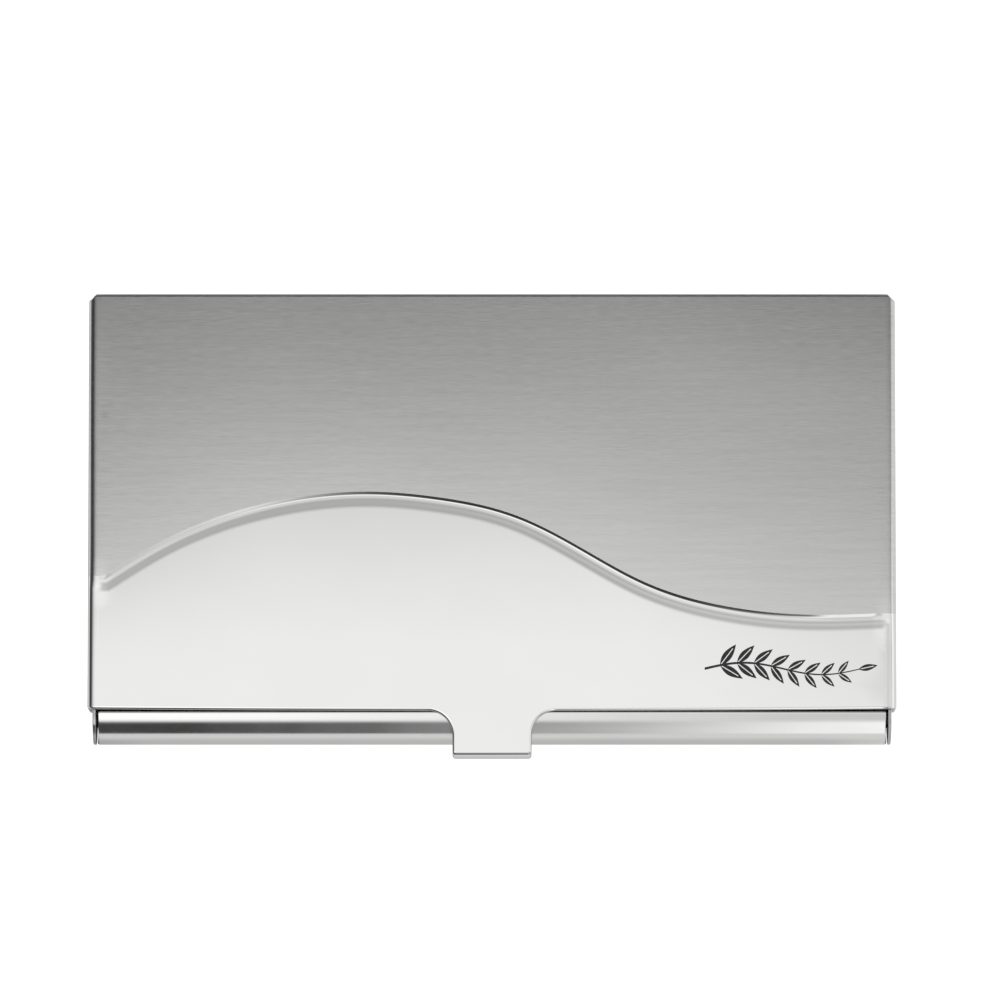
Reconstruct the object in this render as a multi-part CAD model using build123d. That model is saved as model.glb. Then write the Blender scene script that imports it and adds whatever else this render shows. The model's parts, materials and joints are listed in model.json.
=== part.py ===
from build123d import *
import os

# Business card case: a shallow pressed steel tray with a hinged steel lid.
# X runs along the hinge, +Y points to the hinge side, +Z is up.
# The origin is on the table, under the middle of the closed case.  Millimetres.

# ---- driving dimensions -----------------------------------------------------------
CASE_LENGTH = 95.2  # outside the lid's two cheeks
CASE_DEPTH = 55.0  # lid's rear edge to the front of the thumb tab
LID_TOP_Z = 7.3  # lid plate, below the crest of its rib
SHEET = 0.4  # lid and tray sheet

REAR_Y = CASE_DEPTH / 2
HALF_LENGTH = CASE_LENGTH / 2

# Lid
LID_BEND = 1.2  # outer radius where the plate turns down into a cheek
LID_FRONT_Y = -21.85  # front edge at mid length
LID_FRONT_BOW = 0.2  # how far the front edge falls back at the cheeks
CHEEK_BOTTOM_Z = 0.6
CHEEK_REAR_ROUND = 2.5  # lets the cheek turn without touching the table
CHEEK_FRONT_ROUND = 1.2
TAB_WIDTH = 9.3
TAB_ROOT_FILLET = 2.9
LIP_BOTTOM_Z = 3.9
LIP_FLARE = 0.18
LIP_BEND = 0.4  # at the middle of the sheet
RIB_HEIGHT = 0.2
RIB_WIDTH = 1.65
RIB_CREST = (
    (-45.6, -6.0), (-39.2, -2.1), (-34.5, 0.1), (-25.0, 2.9), (-15.0, 3.95), (-6.1, 3.25),
    (3.3, 0.95), (10.4, -2.65), (17.5, -6.55), (26.9, -9.5), (36.4, -10.6), (45.5, -10.45),
)

# Tray
TRAY_TOP_Z = 6.75  # leaves 0.15 under the lid plate
TRAY_FRONT_Y = -25.5
TRAY_REAR_Y = 27.3
FRONT_TOP_ROUND = 4.2
REAR_ROUND = 2.3
FRONT_LIP = 1.0  # flat part of the front roll, under the lid's edge
REAR_LIP = 0.6
ROLL_HALF_LENGTH = 46.4  # front roll and rear wall stop here, a slit short of the end walls
END_WALL_IN = 46.6
END_WALL_OUT = 47.0
END_WALL_TOP_Z = 6.3  # low enough to clear the lid's bends
END_WALL_EDGE = 0.3

# Hinge: one stub pin at each end, with a flatted cam that a leaf spring presses on
PIVOT_Y = 25.0
PIVOT_Z = 3.75
OPEN_ANGLE = 105
PIN_RADIUS = 0.8
PIN_CLEARANCE = 0.02
WASHER_RADIUS = 1.8
WASHER_GAP = 0.02
CAM_RADIUS = 1.3
CAM_FLAT = 1.0
CAM_X = (45.2, 46.4)

BRACKET_X = (44.7, 44.9)
BRACKET_SHEET = BRACKET_X[1] - BRACKET_X[0]
BRACKET_FOOT_Y = (6.0, 24.8)
BRACKET_OUTLINE = (
    (24.8, 0.4), (26.2, 2.2), (26.2, 4.7), (25.2, 5.7), (22.6, 5.7), (11.0, 1.6), (6.0, 1.6), (6.0, 0.4),
)

LEAF_MIDDLE_X = (CAM_X[0] + CAM_X[1]) / 2
LEAF_THICKNESS = 0.4
LEAF_FOOT_Z = SHEET + BRACKET_SHEET + LEAF_THICKNESS / 2
LEAF_PATH = ((6.6, LEAF_FOOT_Z), (12.0, LEAF_FOOT_Z), (22.3, 2.55), (26.3, 2.55))
LEAF_BEND = 3.0
LEAF_RIVET_Y = 8.6
LEAF_RIVET_RADIUS = 0.4
LEAF_RIVET_HEAD = 0.7
LEAF_RIVET_HEAD_HEIGHT = 0.3

# Inside the tray
LINER_THICKNESS = 0.4
LINER_HALF_LENGTH = 44.3
LINER_Y = (-22.8, 24.8)
LINER_CORNER = 1.0
LINER_WINDOW_WIDTH = 15.6
LINER_WINDOW_Y = (-18.6, 20.2)

SPRING_WIDTH = 14.0
SPRING_SHEET = 0.2
SPRING_FLOOR_Z = SHEET + SPRING_SHEET / 2
SPRING_HINGE_Y = 11.0
SPRING_GAP = 0.05  # between the modelled root and blade, which are one sheet
SPRING_ROOT_PATH = ((19.4, SPRING_FLOOR_Z), (13.0, SPRING_FLOOR_Z), (SPRING_HINGE_Y, 0.68))
SPRING_BLADE_PATH = ((SPRING_HINGE_Y - SPRING_GAP, 0.684), (-13.5, 2.85), (-16.6, 2.15))
SPRING_BEND = 4.0
SPRING_RIVET_Y = 16.4
SPRING_RIVET_X = 4.4
SPRING_RIVET_RADIUS = 0.8
SPRING_RIVET_HEAD = 1.4

SIDES = (("left", -1), ("right", 1))
os.makedirs("parts", exist_ok=True)


def save(name, *solids):
    """Write one sub-part; a group of equal pieces is kept as separate solids."""
    shape = solids[0] if len(solids) == 1 else Compound(children=list(solids))
    export_step(shape, f"parts/{name}.step")


def along_x(section, x_low, x_high):
    """Extrude a section drawn in (Y, Z) from x_low to x_high."""
    return Pos(x_low, 0, 0) * extrude(Plane.YZ * section, amount=x_high - x_low)


def on_side(sign, x_inner, x_outer):
    """Low and high X of a layer that lies x_inner to x_outer from the middle."""
    return tuple(sorted((sign * x_inner, sign * x_outer)))


def disc(sign, x_inner, x_outer, radius):
    """A round piece on the hinge axis at one end of the case."""
    return along_x(Pos(PIVOT_Y, PIVOT_Z) * Circle(radius), *on_side(sign, x_inner, x_outer))


def block(x_low, x_high, y_low, y_high, z_low, z_high):
    """A plain box between two corners."""
    size = (x_high - x_low, y_high - y_low, z_high - z_low)
    return Pos(x_low, y_low, z_low) * Box(*size, align=(Align.MIN, Align.MIN, Align.MIN))


def bent_strip(path_points, bend, thickness, width, middle_x):
    """Sheet of constant thickness that follows a path in (Y, Z)."""
    path = FilletPolyline(*path_points, radius=bend)
    return along_x(trace(path, thickness), middle_x - width / 2, middle_x + width / 2)


def rivet(x, y, grip_z, radius, head_radius, head_height):
    """Flush under the tray's floor, with a low head on the sheet that it holds down."""
    shank = Pos(x, y, 0) * Cylinder(radius, grip_z, align=(Align.CENTER, Align.CENTER, Align.MIN))
    head = Pos(x, y, grip_z) * Cylinder(
        head_radius, head_height, align=(Align.CENTER, Align.CENTER, Align.MIN)
    )
    return shank + chamfer(head.edges().sort_by(Axis.Z)[-1], head_height / 2)


# ---- tray ---------------------------------------------------------------------------
def tray_section(inset):
    """The tray's side view, rolled at the front and rounded at the rear, shrunk by inset."""
    low, high = inset, TRAY_TOP_Z - inset
    front, rear = TRAY_FRONT_Y + inset, TRAY_REAR_Y - inset
    top_round = FRONT_TOP_ROUND - inset
    bottom_round = TRAY_TOP_Z - FRONT_TOP_ROUND - inset
    rear_round = REAR_ROUND - inset
    outline = [
        Line((front + top_round, high), (rear - rear_round, high)),
        TangentArc((rear - rear_round, high), (rear, high - rear_round), tangent=(1, 0)),
        Line((rear, high - rear_round), (rear, low + rear_round)),
        TangentArc((rear, low + rear_round), (rear - rear_round, low), tangent=(0, -1)),
        Line((rear - rear_round, low), (front + bottom_round, low)),
        TangentArc((front + bottom_round, low), (front, low + bottom_round), tangent=(-1, 0)),
        TangentArc((front, low + bottom_round), (front + top_round, high), tangent=(0, 1)),
    ]
    return make_face(outline)


def make_tray():
    """Rolled front, floor and rear wall in one channel, closed by the two end walls."""
    shell = along_x(tray_section(0) - tray_section(SHEET), -ROLL_HALF_LENGTH, ROLL_HALF_LENGTH)
    mouth_front = TRAY_FRONT_Y + FRONT_TOP_ROUND + FRONT_LIP
    mouth_rear = TRAY_REAR_Y - REAR_ROUND - REAR_LIP
    shell -= block(-HALF_LENGTH, HALF_LENGTH, mouth_front, mouth_rear, PIVOT_Z, LID_TOP_Z)

    floor_front = TRAY_FRONT_Y + TRAY_TOP_Z - FRONT_TOP_ROUND
    floor_rear = TRAY_REAR_Y - REAR_ROUND
    floor = block(-END_WALL_OUT, END_WALL_OUT, floor_front, floor_rear, 0, SHEET)
    tray = shell + floor
    for _, sign in SIDES:
        wall = along_x(tray_section(0), *on_side(sign, END_WALL_IN, END_WALL_OUT))
        wall -= block(-HALF_LENGTH, HALF_LENGTH, -REAR_Y, REAR_Y, END_WALL_TOP_Z, LID_TOP_Z)
        tray += wall
    outer_edges = [
        edge
        for edge in tray.edges().filter_by(Axis.Y)
        if abs(edge.center().Z) < 0.01 and abs(abs(edge.center().X) - END_WALL_OUT) < 0.01
    ]
    tray = fillet(outer_edges, END_WALL_EDGE)

    for _, sign in SIDES:
        tray -= disc(sign, END_WALL_IN, END_WALL_OUT, PIN_RADIUS + PIN_CLEARANCE)
        tray -= rivet_hole(sign * LEAF_MIDDLE_X, LEAF_RIVET_Y, LEAF_RIVET_RADIUS)
        tray -= rivet_hole(sign * SPRING_RIVET_X, SPRING_RIVET_Y, SPRING_RIVET_RADIUS)
    return tray


def rivet_hole(x, y, radius):
    """Tool that cuts a rivet's hole through whatever lies above the table there."""
    return Pos(x, y, 0) * Cylinder(radius, LID_TOP_Z)


def make_liner():
    """Velvet-faced pad on the floor, with a window for the card spring."""
    width_y = LINER_Y[1] - LINER_Y[0]
    window_y = LINER_WINDOW_Y[1] - LINER_WINDOW_Y[0]
    outline = Pos(0, sum(LINER_Y) / 2) * RectangleRounded(2 * LINER_HALF_LENGTH, width_y, LINER_CORNER)
    window = Pos(0, sum(LINER_WINDOW_Y) / 2) * RectangleRounded(LINER_WINDOW_WIDTH, window_y, LINER_CORNER)
    return Pos(0, 0, SHEET) * extrude(outline - window, amount=LINER_THICKNESS)


# ---- lid ----------------------------------------------------------------------------
def lid_plan():
    """Outline of the lid from above, with the thumb tab in the middle of the front edge."""
    tab_end = -REAR_Y + 2 * LIP_BEND
    corner_y = LID_FRONT_Y + LID_FRONT_BOW
    plate = make_face(
        [
            ThreePointArc((-HALF_LENGTH, corner_y), (0, LID_FRONT_Y), (HALF_LENGTH, corner_y)),
            Line((HALF_LENGTH, corner_y), (HALF_LENGTH, REAR_Y)),
            Line((HALF_LENGTH, REAR_Y), (-HALF_LENGTH, REAR_Y)),
            Line((-HALF_LENGTH, REAR_Y), (-HALF_LENGTH, corner_y)),
        ]
    )
    tab = Pos(0, (tab_end + LID_FRONT_Y) / 2 + 1) * Rectangle(TAB_WIDTH, LID_FRONT_Y - tab_end + 2)
    plan = plate + tab
    roots = [
        vertex
        for vertex in plan.vertices()
        if abs(abs(vertex.X) - TAB_WIDTH / 2) < 0.01 and vertex.Y > tab_end + 1
    ]
    return fillet(roots, TAB_ROOT_FILLET)


def lid_shell():
    """Plate and cheeks: a channel section along Y, trimmed to the plan and the cheek outline."""
    outer = Pos(0, LID_TOP_Z / 2) * Rectangle(CASE_LENGTH, LID_TOP_Z)
    inner = Pos(0, LID_TOP_Z / 2 - SHEET) * Rectangle(CASE_LENGTH - 2 * SHEET, LID_TOP_Z)
    outer = fillet(outer.vertices().group_by(Axis.Y)[-1], LID_BEND)
    inner = fillet(inner.vertices().group_by(Axis.Y)[-1], LID_BEND - SHEET)
    channel = extrude(Plane.XZ * (outer - inner), amount=CASE_DEPTH, both=True)
    shell = channel & extrude(lid_plan(), amount=LID_TOP_Z)

    length = REAR_Y - LID_FRONT_Y
    height = LID_TOP_Z - CHEEK_BOTTOM_Z
    profile = Pos((REAR_Y + LID_FRONT_Y) / 2, CHEEK_BOTTOM_Z + height / 2) * Rectangle(length, height)
    low_front = profile.vertices().sort_by_distance((LID_FRONT_Y, CHEEK_BOTTOM_Z))[0]
    profile = fillet(low_front, CHEEK_FRONT_ROUND)
    low_rear = profile.vertices().sort_by_distance((REAR_Y, CHEEK_BOTTOM_Z))[0]
    profile = fillet(low_rear, CHEEK_REAR_ROUND)
    tab_zone = block(-HALF_LENGTH, HALF_LENGTH, -REAR_Y, LID_FRONT_Y, LID_TOP_Z - SHEET, LID_TOP_Z)
    return shell & (along_x(profile, -HALF_LENGTH, HALF_LENGTH) + tab_zone)


def lid_rib():
    """Raised wave across the lid, between its brushed rear and its polished front."""
    crest = Spline(*RIB_CREST)
    foot = Spline(*[(x, y - RIB_WIDTH) for x, y in RIB_CREST])
    band = make_face([crest, Line(crest @ 1, foot @ 1), foot, Line(foot @ 0, crest @ 0)])
    return Pos(0, 0, LID_TOP_Z - SHEET / 2) * extrude(band, amount=SHEET / 2 + RIB_HEIGHT)


def make_lid():
    """Shell with its rib and the turned-down lip of the thumb tab."""
    middle = LID_TOP_Z - SHEET / 2
    lip_y = -REAR_Y + SHEET / 2
    lip_path = ((LID_FRONT_Y - 2, middle), (lip_y + LIP_FLARE, middle), (lip_y, LIP_BOTTOM_Z))
    tab_front = -REAR_Y + 2 * LIP_BEND
    lid = lid_shell() - block(-TAB_WIDTH, TAB_WIDTH, -REAR_Y, tab_front, 0, LID_TOP_Z)
    lid += bent_strip(lip_path, LIP_BEND, SHEET, TAB_WIDTH, 0)
    lid += lid_rib()
    for _, sign in SIDES:
        lid -= disc(sign, HALF_LENGTH - SHEET, HALF_LENGTH, PIN_RADIUS)
    return lid


# ---- hinge --------------------------------------------------------------------------
def make_cam(sign):
    """Two flats: one rests on the leaf when the lid is shut, one when it is open."""
    width = 2 * CAM_RADIUS
    outline = Circle(CAM_RADIUS)
    for angle in (-90, OPEN_ANGLE - 90):
        outline -= Rot(0, 0, angle) * Pos(CAM_FLAT + width / 2, 0) * Rectangle(width, 2 * width)
    cam = along_x(Pos(PIVOT_Y, PIVOT_Z) * outline, *on_side(sign, *CAM_X))
    return cam - disc(sign, *CAM_X, PIN_RADIUS)


def make_bracket(sign):
    """Thin angle bracket that carries the pin's inner end and keeps cards off the leaf."""
    plate = along_x(make_face(Polyline(*BRACKET_OUTLINE, close=True)), *on_side(sign, *BRACKET_X))
    foot_x = on_side(sign, BRACKET_X[0], CAM_X[1])
    foot = block(*foot_x, *BRACKET_FOOT_Y, SHEET, SHEET + BRACKET_SHEET)
    bracket = plate + foot - disc(sign, *BRACKET_X, PIN_RADIUS + PIN_CLEARANCE)
    return bracket - rivet_hole(sign * LEAF_MIDDLE_X, LEAF_RIVET_Y, LEAF_RIVET_RADIUS)


def make_leaf(sign):
    """Flat spring under the cam, held down at its front end."""
    middle_x = sign * LEAF_MIDDLE_X
    leaf = bent_strip(LEAF_PATH, LEAF_BEND, LEAF_THICKNESS, CAM_X[1] - CAM_X[0], middle_x)
    return leaf - rivet_hole(middle_x, LEAF_RIVET_Y, LEAF_RIVET_RADIUS)


for side, sign in SIDES:
    save(f"{side}_pivot_pin", disc(sign, BRACKET_X[0], HALF_LENGTH, PIN_RADIUS))
    washer_x = (END_WALL_OUT + WASHER_GAP, HALF_LENGTH - SHEET - WASHER_GAP)
    washer = disc(sign, *washer_x, WASHER_RADIUS) - disc(sign, *washer_x, PIN_RADIUS + PIN_CLEARANCE)
    save(f"{side}_pivot_washer", washer)
    save(f"{side}_snap_cam", make_cam(sign))
    save(f"{side}_hinge_bracket", make_bracket(sign))
    save(f"{side}_snap_spring", make_leaf(sign))
    save(
        f"{side}_snap_spring_rivet",
        rivet(
            sign * LEAF_MIDDLE_X,
            LEAF_RIVET_Y,
            LEAF_FOOT_Z + LEAF_THICKNESS / 2,
            LEAF_RIVET_RADIUS,
            LEAF_RIVET_HEAD,
            LEAF_RIVET_HEAD_HEIGHT,
        ),
    )

# ---- card spring --------------------------------------------------------------------
root = bent_strip(SPRING_ROOT_PATH, SPRING_BEND, SPRING_SHEET, SPRING_WIDTH, 0)
blade = bent_strip(SPRING_BLADE_PATH, SPRING_BEND, SPRING_SHEET, SPRING_WIDTH, 0)
spring_rivets = []
for _, sign in SIDES:
    root -= rivet_hole(sign * SPRING_RIVET_X, SPRING_RIVET_Y, SPRING_RIVET_RADIUS)
    spring_rivets.append(
        rivet(
            sign * SPRING_RIVET_X,
            SPRING_RIVET_Y,
            SHEET + SPRING_SHEET,
            SPRING_RIVET_RADIUS,
            SPRING_RIVET_HEAD,
            SPRING_SHEET,
        )
    )
save("card_spring_root", root)
save("card_spring_blade", blade)
save("card_spring_rivets", *spring_rivets)

save("base_tray", make_tray())
save("floor_liner", make_liner())
save("lid_cover", make_lid())
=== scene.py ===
import json
from math import atan2, cos, hypot, pi, radians, sin

import bpy
import numpy as np
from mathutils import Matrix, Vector
from mathutils.geometry import delaunay_2d_cdt


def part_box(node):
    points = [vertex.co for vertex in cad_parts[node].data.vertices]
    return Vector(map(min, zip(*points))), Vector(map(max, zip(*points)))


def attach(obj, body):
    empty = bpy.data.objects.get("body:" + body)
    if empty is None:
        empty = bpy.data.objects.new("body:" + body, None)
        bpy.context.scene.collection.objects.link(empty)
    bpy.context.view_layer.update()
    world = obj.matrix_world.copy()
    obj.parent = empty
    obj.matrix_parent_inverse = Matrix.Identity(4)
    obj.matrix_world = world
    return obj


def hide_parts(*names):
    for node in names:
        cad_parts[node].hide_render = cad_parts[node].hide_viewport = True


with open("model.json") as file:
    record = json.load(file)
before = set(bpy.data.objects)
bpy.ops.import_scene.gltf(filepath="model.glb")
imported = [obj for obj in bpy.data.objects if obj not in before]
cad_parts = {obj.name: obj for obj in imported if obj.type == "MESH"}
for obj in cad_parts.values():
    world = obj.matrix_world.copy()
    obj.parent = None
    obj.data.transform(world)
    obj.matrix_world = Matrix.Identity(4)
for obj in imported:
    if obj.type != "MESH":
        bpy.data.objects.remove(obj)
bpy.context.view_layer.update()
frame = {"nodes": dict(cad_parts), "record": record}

MM = 0.001
lid_low, lid_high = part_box("lid_cover")
pin_low, pin_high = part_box("left_pivot_pin")
tray_low, tray_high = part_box("base_tray")
liner_low, liner_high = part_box("floor_liner")

# ---- sizes in millimetres, as the frame has them --------------------------------------
SHEET = 0.4
PIN_RADIUS = 0.8
# x, y and radius of the rivets through the floor, on each side
LEAF_RIVET = (45.8, 8.6, 0.4)
SPRING_RIVET = (4.4, 16.4, 0.8)
HOLE_PLAY = 0.02
HOLE_POINTS = 32
RIB_HEIGHT = 0.2
LIP_SHORTENED = 0.04
HALF_LENGTH = lid_high[0] / MM
REAR_Y = lid_high[1] / MM
LIP_Y = lid_low[1] / MM + LIP_SHORTENED
LID_TOP = lid_high[2] / MM - RIB_HEIGHT
CHEEK_BOTTOM = lid_low[2] / MM
TRAY_TOP = tray_high[2] / MM
PIVOT_Y = (pin_low[1] + pin_high[1]) / 2 / MM
PIVOT_Z = (pin_low[2] + pin_high[2]) / 2 / MM
TRAY_FRONT = tray_low[1] / MM
TRAY_REAR = tray_high[1] / MM
END_WALL = tray_high[0] / MM

LID_BEND = 1.2
LID_FRONT = -21.85
LID_FRONT_BOW = 0.2
REAR_CORNER_CUT = 0.5
REAR_CORNER_IN = 0.4
REAR_CORNER_OUT = 1.2
REAR_CORNER_ROUND = 0.4
CHEEK_REAR_ROUND = 2.5
CHEEK_FRONT_ROUND = 1.2
FRONT_EDGE_START = 9.0
TAB_HALF = 4.65
TAB_CORNER = 0.45
TAB_ROOT_FILLET = 2.9
LIP_BEND = 0.7
LIP_TURN = radians(86.8)
LIP_DROP = 3.4
LID_EDGE_ROUNDS = (0.36, 0.03)
TRAY_EDGE_ROUNDS = (0.12, 0.06)
LINER_EDGE_ROUNDS = (0.18, 0.05)

# the wave's crest over the lid, and its section measured square to the crest, to the front
CREST = (
    (-45.6, -6.0), (-39.2, -2.1), (-34.5, 0.1), (-25.0, 2.9), (-15.0, 3.95), (-6.1, 3.25),
    (3.3, 0.95), (10.4, -2.65), (17.5, -6.55), (26.9, -9.5), (36.4, -10.6), (45.5, -10.45),
)
RIB_FADE = (44.6, 46.3)
RIB_RISE = 26.0
RIB_STEP_SPAN = (-0.07, 0.39)
RIB_STEP_SHARP = 6
RIB_SIDE = (45.7, 48.2)
RIB_BLEND = (-3.0, 4.0)
BRUSHED_END = RIB_STEP_SPAN[0]
SHOULDER = (0.5, 1.8)
RECESS = 0.1
RECESS_STEP_SHARE = 0.5
RECESS_SIDE = (46.8, 46.35)
RECESS_LEFT_SIDE = (47.6, 46.2)
RECESS_REAR_END = -6.0

# the satin part of the wave's front slope, whose mask also darkens its colour as painted shade and
# lightens it as painted highlights: spans along u, or of distance from the crest
SATIN_AND_SHADE_AMOUNT = 0.9
SATIN_SLOPE = (0.42, 0.85)
SATIN_FOOT = (1.95, 1.5)
SATIN_SIDE = (46.6, 45.6)
# painted shade: these spans and amounts darken the wave's crest and step towards both ends, and a
# little along its middle
LEFT_SHADE_SPAN = (-22.0, -36.0)
LEFT_SHADE_LATER = 0.08
LEFT_SHADE_AMOUNT = 0.22
LEFT_CREST_SHADE_AMOUNT = 0.42
LEFT_CREST_SHADE_SPAN = (0.42, 0.3)
RIGHT_SHADE_SPAN = (37.0, 41.0)
MIDDLE_SHADE_AMOUNT = 0.1
RIGHT_SHADE_AMOUNT = 0.3
# painted highlights: a lighter band along the ridge, and a lighter slope towards the right
RIDGE_PAINTED_HIGHLIGHT = 0.2
RIDGE_AT = 1.1
RIDGE_HALF = 0.25
RIDGE_SIDE = (-15.0, 10.0)
RIGHT_PAINTED_HIGHLIGHT = 0.1
RIGHT_HIGHLIGHT_SIDE = (10.0, 30.0)
# painted shade along the recess border at both sides
BORDER_SHADE_AMOUNT = 0.5
BORDER_SIDE = (46.2, 46.5), (46.9, 46.6)
BORDER_START = (0.9, 1.3)
# painted shade: a dark line along the crest at the right, and darkening in the tab's fold
CREST_SHADE_SPAN = (-0.16, -0.1), (0.2, 0.1)
CREST_SHADE_SIDE = (24.0, 31.0), (40.0, 37.0)
FOLD_SHADE_SPAN = (-0.6, -0.45), (-0.12, -0.25)
FOLD_SHADE_AMOUNT = 0.5
FOLD_SHADE_MARGIN = 0.1

SPRIG_START = 25.0
SPRIG_LENGTH = 18.4
SPRIG_MIDDLE = -16.9
SPRIG_WAVE = 0.7
SPRIG_PAIRS = 8
FIRST_PAIR = 0.10
PAIRS_SPAN = 0.86
STEM_HALF = (0.15, 0.06)
LEAF_LENGTH = (3.1, 1.8)
LEAF_WIDTH = 0.17
LEAF_ANGLE = radians(42)
LEAF_BELLY = 0.85
VEIN_HALF = 0.05
VEIN_END = 0.8
TIP_LEAF_BACK = 0.3
TIP_LEAF = (radians(12), 2.3, 0.38)
ENGRAVE_DEPTH = 0.02
ENGRAVE_FOOT = 0.01
ENGRAVE_SLOPE = 0.04

FRONT_ROUND = 4.2
REAR_ROUND = 2.3
FRONT_TURN = radians(78)
CURL_ROUND = 0.45
CURL_TURN = radians(98)
FRONT_LIP = 0.4
REAR_LIP = 0.6
STRIP_CORNER = 0.3
ROLL_HALF = 46.33
ROLL_LOW_HALF = 46.5
ROLL_WIDENED_AT = 0.85
END_WALL_BEND = 0.45
END_WALL_TOP = 6.3

# ---- mesh spacing, in millimetres ---------------------------------------------------------
RIM_STEPS = 6
OUTLINE_STEP = 0.8
LID_FINE_STEP = 0.12
TRAY_FINE_STEP = 0.25
LINER_STEP = 0.6
EDGE_MARGIN = 0.05
MERGE_WITHIN = 1e-4
RELIEF_STEP = 0.005
SLOPE_STEP = 0.05
FAR = 1e3


# ---- small maths ------------------------------------------------------------------------
def smooth(value, low, high):
    """0 below low, 1 above high, with no kink between."""
    t = np.clip((value - low) / (high - low), 0, 1)
    return t * t * (3 - 2 * t)


def band(value, rise, fall):
    """1 between the span where it rises and the span where it falls."""
    return smooth(value, *rise) * smooth(value, *fall)


def natural_spline(points):
    """Cubic y(x) through the points, with no curvature at its two ends."""
    x, y = np.array(points, float).T
    gap = np.diff(x)
    slope = np.diff(y) / gap
    count = len(x)
    system = np.eye(count)
    right = np.zeros(count)
    for i in range(1, count - 1):
        system[i, i - 1: i + 2] = gap[i - 1], 2 * (gap[i - 1] + gap[i]), gap[i]
        right[i] = 6 * (slope[i] - slope[i - 1])
    bend = np.linalg.solve(system, right)

    def curve(at):
        at = np.clip(at, x[0], x[-1])
        i = np.clip(np.searchsorted(x, at) - 1, 0, count - 2)
        a = (x[i + 1] - at) / gap[i]
        b = 1 - a
        cubic = ((a**3 - a) * bend[i] + (b**3 - b) * bend[i + 1]) * gap[i] ** 2 / 6
        return a * y[i] + b * y[i + 1] + cubic

    return curve


def slope_of(curve, u):
    return (curve(u + SLOPE_STEP) - curve(u - SLOPE_STEP)) / (2 * SLOPE_STEP)


crest_y = natural_spline(CREST)


def before_crest(u, v):
    """Distance in front of the crest line; negative on the brushed side."""
    return (crest_y(u) - v) / np.sqrt(1 + slope_of(crest_y, u) ** 2)


def rounded(corners, step=0.12):
    """Closed outline through (u, v, radius) corners, each turned with its own radius."""
    outline = []
    count = len(corners)
    for i in range(count):
        u, v, radius = corners[i]
        here = np.array((u, v), float)
        if radius == 0:
            outline.append(here)
            continue
        back = np.array(corners[i - 1][:2]) - here
        ahead = np.array(corners[(i + 1) % count][:2]) - here
        back /= np.linalg.norm(back)
        ahead /= np.linalg.norm(ahead)
        half = np.arccos(np.clip(back @ ahead, -1, 1)) / 2
        middle = here + (back + ahead) / np.linalg.norm(back + ahead) * radius / np.sin(half)
        first = here + back * radius / np.tan(half) - middle
        last = here + ahead * radius / np.tan(half) - middle
        turn = atan2(first[0] * last[1] - first[1] * last[0], first @ last)
        pieces = max(4, int(abs(turn) * radius / step))
        for k in range(pieces + 1):
            a = turn * k / pieces
            across = first[0] * cos(a) - first[1] * sin(a)
            outline.append(middle + (across, first[0] * sin(a) + first[1] * cos(a)))
    return np.array(outline)


def refine(outline, longest):
    """Adds points on the sides longer than that."""
    points = []
    for i in range(len(outline)):
        a, b = outline[i], outline[(i + 1) % len(outline)]
        pieces = max(1, int(np.ceil(np.linalg.norm(b - a) / longest)))
        for k in range(pieces):
            points.append(a + (b - a) * k / pieces)
    return np.array(points)


# ---- a pressed sheet: flat outline, rounded cut edge, relief, then folds -----------------
def roll(distance, pieces):
    """Follows bends and straights for a distance: how far forward, how far off, heading."""
    forward = np.zeros_like(distance)
    off = np.zeros_like(distance)
    heading = np.zeros_like(distance)
    start = 0.0
    for length, radius in pieces + [(FAR, None)]:
        d = np.clip(distance - start, 0, length)
        if radius:
            turn = d / radius
            forward += radius * (np.sin(heading + turn) - np.sin(heading))
            off += radius * (np.cos(heading) - np.cos(heading + turn))
            heading += turn
        else:
            forward += d * np.cos(heading)
            off += d * np.sin(heading)
        start += length
    return forward, off, heading


def make_fold(base_z, way, side_start, side, front_start, front, rear_start=FAR, rear=()):
    """Folds a flat sheet up (way 1) or down (way -1) past its side, front and rear lines.

    Returns a function from (u, v) to the outer face's point, its normal and its two directions.
    """

    def fold(u, v):
        zero, one = np.zeros_like(u), np.ones_like(u)
        sign = np.where(u < 0, -1.0, 1.0)
        out, off, turn = roll(np.maximum(np.abs(u) - side_start, 0), list(side))
        flap = np.abs(u) > side_start
        x = np.where(flap, sign * (side_start + out), u)
        ahead, lift, pitch = roll(np.maximum(front_start - v, 0), list(front))
        behind, lift_rear, pitch_rear = roll(np.maximum(v - rear_start, 0), list(rear))
        in_rear = v > rear_start
        facing = np.where(in_rear, 1.0, -1.0)
        y = np.where(in_rear, rear_start + behind, np.maximum(v, front_start) - ahead)
        rise = np.where(in_rear, lift_rear, lift)
        tip = np.where(in_rear, pitch_rear, pitch)
        y = np.where(flap, v, y)
        point = np.stack([x, y, base_z + way * np.where(flap, off, rise)], 1)
        normal = np.stack(
            [
                np.where(flap, sign * np.sin(turn), zero),
                np.where(flap, zero, facing * np.sin(tip)),
                -way * np.where(flap, np.cos(turn), np.cos(tip)),
            ],
            1,
        )
        climb_u = np.where(flap, way * sign * np.sin(turn), zero)
        climb_v = np.where(flap, zero, way * facing * np.sin(tip))
        along_u = np.stack([np.where(flap, np.cos(turn), one), zero, climb_u], 1)
        along_v = np.stack([zero, np.where(flap, one, np.cos(tip)), climb_v], 1)
        return point, normal, along_u, along_v

    return fold


def no_relief(u, v, outer):
    """For a sheet that is flat before its folds."""
    return np.zeros_like(u)


def one_slot(u, v):
    """For a sheet whose upper face has one material."""
    return np.zeros(len(u), int)


def outward(outline):
    """Unit vector out of a counter-clockwise outline at each of its points."""
    ahead = np.roll(outline, -1, 0) - outline
    back = outline - np.roll(outline, 1, 0)
    ahead /= np.linalg.norm(ahead, axis=1)[:, None]
    back /= np.linalg.norm(back, axis=1)[:, None]
    mean = ahead + back
    mean /= np.linalg.norm(mean, axis=1)[:, None]
    return np.stack([mean[:, 1], -mean[:, 0]], 1)


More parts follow.
